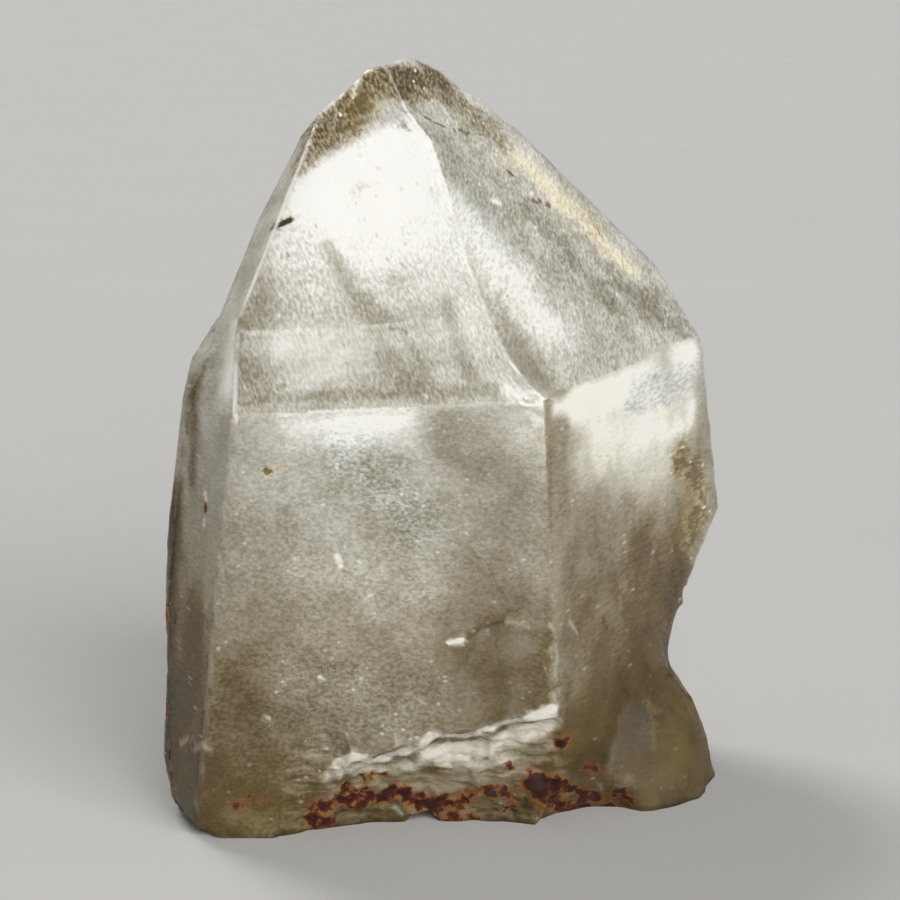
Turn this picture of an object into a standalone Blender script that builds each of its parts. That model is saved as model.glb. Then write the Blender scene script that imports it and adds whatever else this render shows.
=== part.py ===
"""Quartz point: one natural crystal of milky quartz that stands on its broken base.

The front view looks along +Y, with +X to the right and +Z up, and the origin is at the middle
of the base. Lengths in the constants are in millimetres, and angles are in degrees. A face is
given by its turn about the crystal's long axis (0 is the front, + is to the right), by its
lean (how far it looks up from the level) and by a place that it goes through.
"""

import math

import bmesh
import bpy
from mathutils import Matrix, Vector, noise

MM = 0.001

# How quartz grows
AXIS_LEAN = 2.9
POINT_LEAN = 38.2
SIXTH = 60.0

# Corners and shoulders that the faces go through
FRONT_CORNER = (7.8, -13.5, 35.9)
LEFT_CORNER = (-16.2, -13.5, 34.684)
LEFT_RIDGE = (-12.5, -1.2, 50.5)
LEFT_SHOULDER = (-15.4, -1.5, 47.6)
LEFT_FLANK = (-20.8, -5.0, 33.8)
LEFT_SIDE = (-22.9, -6.5, 12.0)
SLAB_CREVICE = (-19.7, -6.1, 35.0)
RIGHT_SHOULDER = (19.8, 13.6, 40.6)
RIGHT_FLANK = (23.4, 12.9, 33.4)
RIGHT_SIDE = (23.3, 13.0, 30.0)
BACK_SIDE = (0.0, 16.5, 0.0)
BACK_RIDGE = (0.2, 12.4, 59.2)
BACK_LEFT_RIDGE = (-8.6, 4.4, 57.9)
LEFT_HEEL = (-21.4, -10.8, 1.6)
LEFT_HEEL_LOW = (-20.2, -11.2, 0.35)

# The faces that every cut of the crystal shares: turn, lean, place
FACES = {
    "front_prism": (0.0, 0.0, FRONT_CORNER),
    "front_point": (0.0, POINT_LEAN, FRONT_CORNER),
    "right_prism": (SIXTH, 0.0, FRONT_CORNER),
    "right_point": (SIXTH, POINT_LEAN, FRONT_CORNER),
    "right_shoulder": (95.0, 27.0, RIGHT_SHOULDER),
    "right_flank": (95.0, 13.0, RIGHT_FLANK),
    "back_right_prism": (2 * SIXTH, 8.0, RIGHT_SIDE),
    "back_prism": (3 * SIXTH, 2.0, BACK_SIDE),
    "back_point": (3 * SIXTH, POINT_LEAN, BACK_RIDGE),
    "back_left_point": (-2 * SIXTH, POINT_LEAN, BACK_LEFT_RIDGE),
    "back_left_prism": (-2 * SIXTH, 1.0, LEFT_SIDE),
    "left_flank": (-100.0, 11.0, LEFT_FLANK),
    "left_point": (-SIXTH, POINT_LEAN, LEFT_RIDGE),
    "left_taper": (-SIXTH, 24.0, LEFT_CORNER),
    "left_prism": (-SIXTH, 8.0, LEFT_CORNER),
    "left_heel": (-70.0, -31.0, LEFT_HEEL),
    "left_heel_low": (-62.0, -64.0, LEFT_HEEL_LOW),
}
BODY_FACES = {
    "left_shoulder": (-95.0, 28.0, LEFT_SHOULDER),
    "crevice": (-100.0, 18.0, SLAB_CREVICE),
}

# The thin later growth on the left flank stops at a shoulder
SLAB_RISE = 0.14
SLAB_FACES = {
    "slab_top": (-75.0, 56.0, (-18.7, -4.6, 38.5)),
    "slab_front": (-15.0, 2.0, (-20.6, -6.1, 31.0)),
    "slab_back": (-160.0, 14.0, (-17.0, 5.0, 30.0)),
    "slab_foot": (150.0, -66.0, (-21.0, 0.0, 12.0)),
    "slab_inside": (90.0, 0.0, (-14.5, 0.0, 20.0)),
}

# How much each edge is worn; every other edge is nearly sharp
EDGE_WEAR = {
    ("front_prism", "left_prism"): 0.9,
    ("left_prism", "left_taper"): 2.0,
    ("left_taper", "left_point"): 1.2,
    ("left_prism", "left_flank"): 1.0,
    ("left_prism", "back_left_prism"): 1.4,
    ("left_flank", "back_left_prism"): 1.6,
    ("front_prism", "right_prism"): 0.45,
    ("left_heel", "left_prism"): 1.8,
    ("left_heel", "front_prism"): 1.8,
    ("left_heel", "back_left_prism"): 1.8,
    ("right_shoulder", "right_point"): 0.8,
    ("right_shoulder", "back_right_prism"): 1.2,
    ("right_shoulder", "back_prism"): 1.2,
    ("right_prism", "back_right_prism"): 0.7,
}
SHARP_WEAR = 0.22
MOST_WEAR = 2.0

# The worn tip: a rounded dome that widens downwards past every face
TIP_CENTRE = (-3.2, 8.2, 54.4)
TIP_RADII = (6.9, 9.6, 6.2)
TIP_FLARE_START = 45.0
TIP_FLARE_RATE = 1.08
TIP_WIDEST = 11.0
TIP_ROUGH = 0.5
TIP_GRAIN = 3.2

# Rough forms: middle, radii, turn about Z, tilt about Y, roughness, grain
# The lobe flares out at the lower right, under the great break that undercuts the right side
LOBE = ((15.1, 3.2, 1.0), (8.0, 10.8, 11.4), 0.0, -19.0, 0.5, 4.0)
RIGHT_BREAK = ((52.6, 18.6, -6.1), (39.0, 39.0, 39.0), 0.0, 0.0, 0.5, 5.0)

# Flakes broken off
FLAKES = {
    "base_front": ((0.2, -17.4, 1.0), (15.6, 7.9, 8.1), 0.0, -5.0, 0.35, 2.2),
    "base_right": ((6.6, -17.0, 4.2), (9.4, 6.4, 7.2), 8.0, -8.0, 0.35, 2.2),
    "base_corner": ((13.4, -12.4, -1.4), (6.0, 6.2, 6.0), 20.0, 0.0, 0.35, 2.2),
    "base_step": ((1.7, -16.8, 5.6), (5.2, 6.2, 4.0), 0.0, 0.0, 0.25, 2.2),
    "base_scar": ((-10.1, -14.1, 6.2), (2.7, 1.6, 3.9), 0.0, 34.0, 0.20, 1.3),
    "base_arch": ((-1.6, -8.6, -0.6), (1.7, 2.2, 1.3), 0.0, 0.0, 0.15, 1.2),
    "right_notch": ((20.3, 16.0, 41.9), (1.3, 2.2, 1.1), 0.0, 0.0, 0.15, 1.0),
    "corner_chip": ((7.2, -14.0, 36.3), (1.5, 0.95, 0.8), 0.0, -8.0, 0.12, 0.8),
    "edge_chip": ((8.9, -13.9, 15.2), (0.9, 0.9, 2.3), 0.0, 0.0, 0.12, 0.8),
    "edge_chip_low": ((9.2, -13.8, 12.6), (0.6, 0.7, 1.1), 0.0, 0.0, 0.10, 0.8),
    "left_nick": ((-19.1, -12.9, 17.4), (0.6, 0.8, 1.3), 0.0, 8.0, 0.10, 0.8),
    "left_nick_low": ((-20.6, -12.4, 7.4), (0.7, 0.9, 1.1), 0.0, 20.0, 0.10, 0.8),
    "heel_step": ((-23.6, -8.6, 2.4), (1.3, 3.0, 1.0), 0.0, 0.0, 0.15, 1.2),
    "back_flake": ((-8.0, 19.6, 9.0), (9.0, 5.6, 11.0), 0.0, 10.0, 0.35, 3.0),
    "back_chip": ((-11.6, 15.4, 26.0), (1.8, 1.4, 3.4), 0.0, 0.0, 0.18, 1.0),
    "under_hollow": ((0.5, 1.5, -5.0), (12.5, 8.0, 6.3), 10.0, 0.0, 0.35, 3.0),
}

# Making
BLANK_SIZE = 140.0
SAME_PLACE = 0.01
SHARP_ABOVE = 25.0
ROUGH_FALL = 0.9
ROUGH_OCTAVES = 3
SMALL_FLAKE = 5.0
COARSE, FINE, FINEST = 3, 5, 6
NODE = "quartz_point"


def place(point):
    """A place given in millimetres, in metres."""
    return Vector(point) * MM


def face_normal(turn, lean):
    """The way a crystal face looks, with the crystal's own axis leaning to the left."""
    level = math.cos(math.radians(lean))
    across = math.sin(math.radians(turn)) * level
    towards = -math.cos(math.radians(turn)) * level
    normal = Vector((across, towards, math.sin(math.radians(lean))))
    normal.rotate(Matrix.Rotation(math.radians(-AXIS_LEAN), 3, "Y"))
    return normal


def clear_scene():
    """Removes every object that the file starts with."""
    for found in list(bpy.data.objects):
        bpy.data.objects.remove(found, do_unlink=True)


def collection(name):
    """A new collection in the scene."""
    made = bpy.data.collections.new(name)
    bpy.context.scene.collection.children.link(made)
    return made


def add_object(name, mesh, group):
    """An object with this mesh, in a collection."""
    made = bpy.data.objects.new(name, mesh)
    group.objects.link(made)
    return made


def add_shape(name, bm, group):
    """An object made from an edited shape, which is then freed."""
    mesh = bpy.data.meshes.new(name)
    bm.to_mesh(mesh)
    bm.free()
    return add_object(name, mesh, group)


def blank(height):
    """A large cube, with its middle this high above the base."""
    bm = bmesh.new()
    middle = Matrix.Translation(place((0.0, 0.0, height)))
    bmesh.ops.create_cube(bm, size=BLANK_SIZE * MM, matrix=middle)
    return bm


def cleave(bm, normal, point):
    """Cuts a convex block along a plane, drops what lies outside and closes the cut."""
    whole = bm.verts[:] + bm.edges[:] + bm.faces[:]
    cut = bmesh.ops.bisect_plane(bm, geom=whole, plane_co=point, plane_no=normal, clear_outer=True)
    rim = [part for part in cut["geom_cut"] if isinstance(part, bmesh.types.BMEdge)]
    if len(rim) > 2:
        bmesh.ops.contextual_create(bm, geom=rim)


def wear_of(edge, normals, wear):
    """The width worn off an edge, by the crystal faces on its two sides."""
    names = []
    for face in edge.link_faces:
        names.append(max(normals, key=lambda name: normals[name].dot(face.normal)))
    for pair, width in wear.items():
        if set(pair) == set(names):
            return width
    return SHARP_WEAR


def crystal_block(name, faces, rise, wear, group):
    """A blank cube cleaved along every crystal face, with its edges worn by a Bevel."""
    bm = blank(BLANK_SIZE / 2)
    normals = {"base": Vector((0.0, 0.0, -1.0))}
    for face_name, (turn, lean, point) in faces.items():
        normals[face_name] = face_normal(turn, lean)
        cleave(bm, normals[face_name], place(point) + normals[face_name] * rise * MM)
    bmesh.ops.remove_doubles(bm, verts=bm.verts[:], dist=SAME_PLACE * MM)
    bmesh.ops.recalc_face_normals(bm, faces=bm.faces[:])
    weight = bm.edges.layers.float.new("bevel_weight_edge")
    for edge in bm.edges:
        edge[weight] = wear_of(edge, normals, wear) / MOST_WEAR
    block = add_shape(name, bm, group)
    bevel = block.modifiers.new("worn edges", "BEVEL")
    bevel.limit_method = "WEIGHT"
    bevel.offset_type = "OFFSET"
    bevel.width = MOST_WEAR * MM
    bevel.segments = 2
    bevel.use_clamp_overlap = True
    return block


def rough_ball(name, form, subdivisions, group):
    """An egg-shaped solid with a rough skin."""
    middle, radii, turn, tilt, rough, grain = form
    bm = bmesh.new()
    bmesh.ops.create_icosphere(bm, subdivisions=subdivisions, radius=1.0)
    facing = Matrix.Rotation(math.radians(turn), 3, "Z") @ Matrix.Rotation(math.radians(tilt), 3, "Y")
    for vert in bm.verts:
        outward = vert.co.normalized()
        spot = Vector([outward[i] * radii[i] for i in range(3)])
        lumps = noise.fractal(spot / grain + Vector(middle), ROUGH_FALL, 2.0, ROUGH_OCTAVES)
        vert.co = (facing @ (spot + outward * rough * lumps) + Vector(middle)) * MM
    return add_shape(name, bm, group)


def tip_dome(name, group):
    """A rounded dome that widens downwards, so that only the tip of the crystal is outside it."""
    bm = bmesh.new()
    bmesh.ops.create_icosphere(bm, subdivisions=FINE, radius=1.0)
    for vert in bm.verts:
        outward = vert.co.normalized()
        from_top = outward.angle(Vector((0.0, 0.0, 1.0)))
        past = max(0.0, from_top - math.radians(TIP_FLARE_START)) * TIP_FLARE_RATE
        flare = TIP_WIDEST
        if math.cos(past) * TIP_WIDEST > 1.0:
            flare = 1.0 / math.cos(past)
        spot = Vector([outward[i] * TIP_RADII[i] * flare for i in range(3)])
        lumps = noise.fractal(outward * TIP_GRAIN, ROUGH_FALL, 2.0, ROUGH_OCTAVES)
        vert.co = (spot + outward * TIP_ROUGH * lumps + Vector(TIP_CENTRE)) * MM
    return add_shape(name, bm, group)


def combine(target, other, operation):
    """Joins, cuts or trims a solid by another with an exact Boolean."""
    boolean = target.modifiers.new(operation.lower() + " " + other.name, "BOOLEAN")
    boolean.operation = operation
    boolean.solver = "EXACT"
    boolean.object = other


def quartz_material():
    """Milky quartz, clear enough to let light through."""
    material = bpy.data.materials.new("milky_quartz")
    material.use_nodes = True
    shader = material.node_tree.nodes["Principled BSDF"]
    shader.inputs["Base Color"].default_value = (0.62, 0.60, 0.54, 1.0)
    shader.inputs["Roughness"].default_value = 0.35
    shader.inputs["Metallic"].default_value = 0.0
    shader.inputs["IOR"].default_value = 1.544
    shader.inputs["Transmission Weight"].default_value = 0.6
    return material


def finished(body, group):
    """The shaped crystal as one plain mesh, stood with the middle of its base at the origin."""
    shaped = body.evaluated_get(bpy.context.evaluated_depsgraph_get())
    mesh = bpy.data.meshes.new_from_object(shaped)
    bm = bmesh.new()
    bm.from_mesh(mesh)
    bmesh.ops.remove_doubles(bm, verts=bm.verts[:], dist=SAME_PLACE * MM)
    bmesh.ops.dissolve_degenerate(bm, edges=bm.edges[:], dist=SAME_PLACE * MM)
    low = Vector([min(vert.co[i] for vert in bm.verts) for i in range(3)])
    high = Vector([max(vert.co[i] for vert in bm.verts) for i in range(3)])
    middle = Vector(((low.x + high.x) / 2, (low.y + high.y) / 2, low.z))
    bmesh.ops.translate(bm, verts=bm.verts[:], vec=-middle)
    bmesh.ops.triangulate(bm, faces=bm.faces[:])
    bm.to_mesh(mesh)
    bm.free()
    mesh.materials.clear()
    mesh.materials.append(quartz_material())
    made = add_object(NODE, mesh, group)
    made.data.set_sharp_from_angle(angle=math.radians(SHARP_ABOVE))
    return made


def main():
    """Builds the crystal."""
    clear_scene()
    crystal = collection("quartz point")
    guides = collection("cutters and guides")
    body = crystal_block("body", {**FACES, **BODY_FACES}, 0.0, EDGE_WEAR, guides)
    combine(body, crystal_block("slab", {**FACES, **SLAB_FACES}, SLAB_RISE, {}, guides), "UNION")
    combine(body, rough_ball("right_break", RIGHT_BREAK, FINEST, guides), "DIFFERENCE")
    combine(body, rough_ball("lobe", LOBE, FINE - 1, guides), "UNION")
    combine(body, tip_dome("tip_dome", guides), "INTERSECT")
    for name, form in FLAKES.items():
        small = max(form[1]) < SMALL_FLAKE
        combine(body, rough_ball(name, form, COARSE if small else FINE, guides), "DIFFERENCE")
    combine(body, add_shape("below_base", blank(-BLANK_SIZE / 2), guides), "DIFFERENCE")
    bpy.context.view_layer.update()
    finished(body, crystal)
    for guide in guides.objects:
        guide.hide_render = True
        guide.display_type = "WIRE"


main()
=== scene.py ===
"""Quartz point: the finished crystal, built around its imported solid.

The front view looks along +Y, with +X to the right and +Z up, in metres. Lengths that a person
would measure on the crystal are given in millimetres and turned into metres by mm(). Patches and
strokes that the photograph shows are placed by its pixels, and those on the other sides by their
place in millimetres.
"""

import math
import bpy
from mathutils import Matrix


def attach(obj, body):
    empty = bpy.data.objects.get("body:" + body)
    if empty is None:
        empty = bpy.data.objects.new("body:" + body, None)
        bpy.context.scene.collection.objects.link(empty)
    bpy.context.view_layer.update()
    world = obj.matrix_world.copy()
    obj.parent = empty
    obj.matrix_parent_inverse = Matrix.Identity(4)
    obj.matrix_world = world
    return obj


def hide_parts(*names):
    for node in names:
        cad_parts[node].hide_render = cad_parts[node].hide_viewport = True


bl_info = {
    "name": "Quartz Point",
    "version": (1, 0, 0),
    "blender": (4, 5, 0),
    "location": "View3D > Sidebar > Quartz",
    "description": "Builds a milky quartz crystal and the studio it stands in",
    "category": "Object",
}

from typing import NamedTuple

import bpy
import numpy as np
from bpy.props import FloatProperty, FloatVectorProperty, IntProperty, PointerProperty
from mathutils import Matrix, Vector, kdtree, noise
from mathutils.bvhtree import BVHTree

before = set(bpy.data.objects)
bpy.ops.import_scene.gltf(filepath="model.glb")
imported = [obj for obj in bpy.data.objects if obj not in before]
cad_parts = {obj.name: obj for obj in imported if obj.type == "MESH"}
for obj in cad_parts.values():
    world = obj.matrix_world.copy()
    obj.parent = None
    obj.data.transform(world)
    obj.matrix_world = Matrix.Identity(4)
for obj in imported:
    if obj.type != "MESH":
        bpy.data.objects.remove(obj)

NODE = "quartz_point"
MM = 0.001

# The camera that fits the photograph, which is 900 pixels square
PHOTO_SIDE = 900
CAMERA_TARGET = Vector((-0.142, -1.512, 29.0)) * MM
CAMERA_DISTANCE = 0.208
CAMERA_DOWN = 12.5
LENS = 100.0
SENSOR = 36.0
BESIDE = 12.0

# How quartz grows: turn about the long axis from the front, and how far each face looks up
AXIS_LEAN = 2.9
CRYSTAL_FACES = {
    "front_prism": (0.0, 0.0),
    "front_point": (0.0, 38.2),
    "right_prism": (60.0, 0.0),
    "right_point": (60.0, 38.2),
    "right_shoulder": (95.0, 27.0),
    "right_flank": (95.0, 13.0),
    "back_right_prism": (120.0, 8.0),
    "back_prism": (180.0, 2.0),
    "back_point": (180.0, 38.2),
    "back_left_point": (-120.0, 38.2),
    "back_left_prism": (-120.0, 1.0),
    "left_flank": (-100.0, 11.0),
    "left_point": (-60.0, 38.2),
    "left_taper": (-60.0, 24.0),
    "left_prism": (-60.0, 8.0),
    "left_shoulder": (-95.0, 28.0),
    "slab_top": (-75.0, 56.0),
    "slab_back": (-160.0, 14.0),
}

# A normal that matches a crystal face's this closely lies on that face, and the faces that look up
# by more than this many degrees belong to the point
SAME_FACE = 0.9995
POINT_SLOPE = 30.0

# Etched grain: its lean from level, and how far it is drawn out
POINT_GRAIN = {"front_point": 112.0, "right_point": 38.0}
POINT_LEAN = 75.0
POINT_DRAW = 0.5
PRISM_DRAW = 0.32
FACE_DRAW = {"front_prism": 0.75}

# The ridge between the front and right faces of the point, as pixels, and how many
# millimetres it bends to the right at each share of its length
RIDGE_TOP = (405, 110)
RIDGE_FOOT = (541, 397)
RIDGE_SHARE = (0.0, 0.12, 0.32, 0.55, 0.74, 0.88, 0.97, 1.0)
RIDGE_MOVE = (0.0, 0.75, 0.15, -0.95, -1.2, -1.15, -0.5, 0.0)
RIDGE_REACH = 6.5

# The terrace on the front face of the point, and the fan-shaped scar low on the front
TERRACE = (300, 332)
TERRACE_STEP = 0.12
TERRACE_EDGE = 0.25
SCAR_CENTRE = (300, 803)
SCAR_RING = 1.15
SCAR_INSIDE = (1.5, 3.0)
SCAR_OUTSIDE = (5.5, 7.5)

# Thin layers in the broken base: how thick they are, how far they waver, how sharp their steps
# are, and where they end above, behind and to the right
LAYER = 1.2
LAYER_WAVER = 1.1
LAYER_SHARPNESS = 3
LAYERS_TOP = (9.0, 13.0)
LAYERS_BACK = (3.0, 6.0)
LAYERS_RIGHT = (8.0, 11.0)

# The lobe is smoother than the rest of the broken quartz: where it begins and ends
CALM = 0.75
CALM_LEFT = (9.0, 12.0)
CALM_TOP = (14.0, 18.0)

# Random fields: the size of their lumps, their seed and their octaves
SWELLS = (4.0, 1, 2)
HACKLES = (1.1, 2, 4)
WANDER = (2.4, 3, 4)
LAYER_WANDER = (4.0, 4, 4)
RIPPLE_WANDER = (3.0, 6, 2)

# How the mesh is merged, and which of its edges are sharp, in degrees
MERGED = 0.001
SHARP_EDGE = 12.0
EDGE_SPACING = 0.15
RIDGE_FAR = 3.0

# Broken quartz begins and is fully rough this far from the nearest flat face
BROKEN_FAR = 2.0
BROKEN_EDGE = (0.35, 1.1)

# The crystal rests on what is lower than this, and its mesh is cut finer from the foot up
RESTING = 0.05
FOOT = 0.2

# Worn hollows: how high and how far out they lie, and how near a crease each round smooths
WORN_TOP = 15.0
WORN_BESIDE = 9.0
CREASE_FAR = 5.0
CREASE_NEAR = 1.6
CREASE_ROUNDS = 30
LOBE_BACK = 2.0
LOBE_NEAR = 3.2
LOBE_ROUNDS = 90
CORNER_RIGHT = 21.0
CORNER_TOP = 10.0
CORNER_ROUNDS = 60

# Bare quartz: how pale it is at the foot, and how much paler at the point, where light is painted
# in and the foot is left in painted shade, at the back and in places; how stained it is at the foot,
# how etched, and how pale its edges are in front and behind, partly wear and partly painted highlight
FOOT_TONE = 0.36
POINT_PAINTED_LIGHT = 0.36
BACK_TONE = 0.12
WANDER_TONE = 0.10
PAINTED_LIGHT_SPAN = (0.0, 40.0)
FOOT_STAIN = 0.55
CLEANER = (0.0, 30.0)
ETCHED = 0.5
FRONT_RIM = 0.12
BACK_RIM = 0.16
BEHIND = (0.0, 5.0)

# Marks: which ones get a finer mesh, how far round them, and how closely their paths are followed
FINE_MARK = 1.2
TINY_MARK = 0.7
MARK_MARGIN = 1.15
MARK_BORDER = 0.1
MARK_LIMIT = 1.4
PIXEL_STEP = 8.0
PLACE_STEP = 0.7

# Patterns in the quartz, in millimetres, and how strongly each changes its tone; the sparkles are painted
# glints, and the pale edges are partly wear and partly painted highlight
VEIL_SIZE = 3.0
VEILS = 0.13
ETCH_SIZE = 0.27
ETCHING = 0.27
ETCH_DEPTH = 0.05
SHEET_SIZE = 2.4
SHEET_SQUEEZE = (1.0, 1.0, 7.0)
SHEETS = 0.16
SPECK_SPACING = 0.42
SPECK_SHARE = 0.13
SPECK_RADIUS = 0.42
SPARKLES = 0.8
PITS = 0.55
EDGE_WEAR_AND_HIGHLIGHT = (0.06, 0.3)
LODGED_SIZE = 0.5
CRUST_SIZE = 0.85

# Rust, coat by coat: where in the crust each begins and is full, and how much it covers
RUST_COATS = (("rust", 0.14, 0.38, 0.85), ("ore", 0.42, 0.62, 0.96), ("pitch", 0.68, 0.84, 0.8))

# Roughness of clear quartz, and what frost, broken quartz and thick rust add to it
CLEAR_ROUGH = 0.30
FROST_ROUGH = 0.12
BROKEN_ROUGH = 0.28
RUST_ROUGH = 0.4

# Quartz bends light by its index, shines a little and scatters light a few millimetres deep
QUARTZ_IOR = 1.544
GLOSS = 0.2
GLOSS_TINT = (1.0, 0.93, 0.80)
SCATTER_REACH = 7.0
SCATTER_SPREAD = (1.0, 0.94, 0.82)

# The studio: the floor's side in metres, its mottling in millimetres, and the sky's tint
FLOOR_SIDE = 8.0
FLOOR_MOTTLE = 50.0
SKY_COLOUR = (1.0, 0.97, 0.93)


class Mark(NamedTuple):
    """A patch or stroke: its path, and how far it reaches to each side in millimetres.

    The layers that it sets are tone (how milky, and in many marks also glow, light and shade painted
    into the colour), warm (how stained), dirt, rust, grain (how etched) and rim (how pale the edges
    are, partly wear and partly painted highlight). It may also sink the surface by a depth. Its
    strength, how much of its reach is soft, how ragged its border is and the one face it stays on say
    how it is laid.
    """

    path: tuple
    reach: float
    tone: float = None
    warm: float = None
    dirt: float = None
    rust: float = None
    grain: float = None
    rim: float = None
    depth: float = 0.0
    strength: float = 1.0
    soft: float = 1.0
    ragged: float = 0.12
    face: str = None


def on_face(face, *marks):
    """Marks that stay on one crystal face."""
    return tuple(mark._replace(face=face) for mark in marks)


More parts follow.
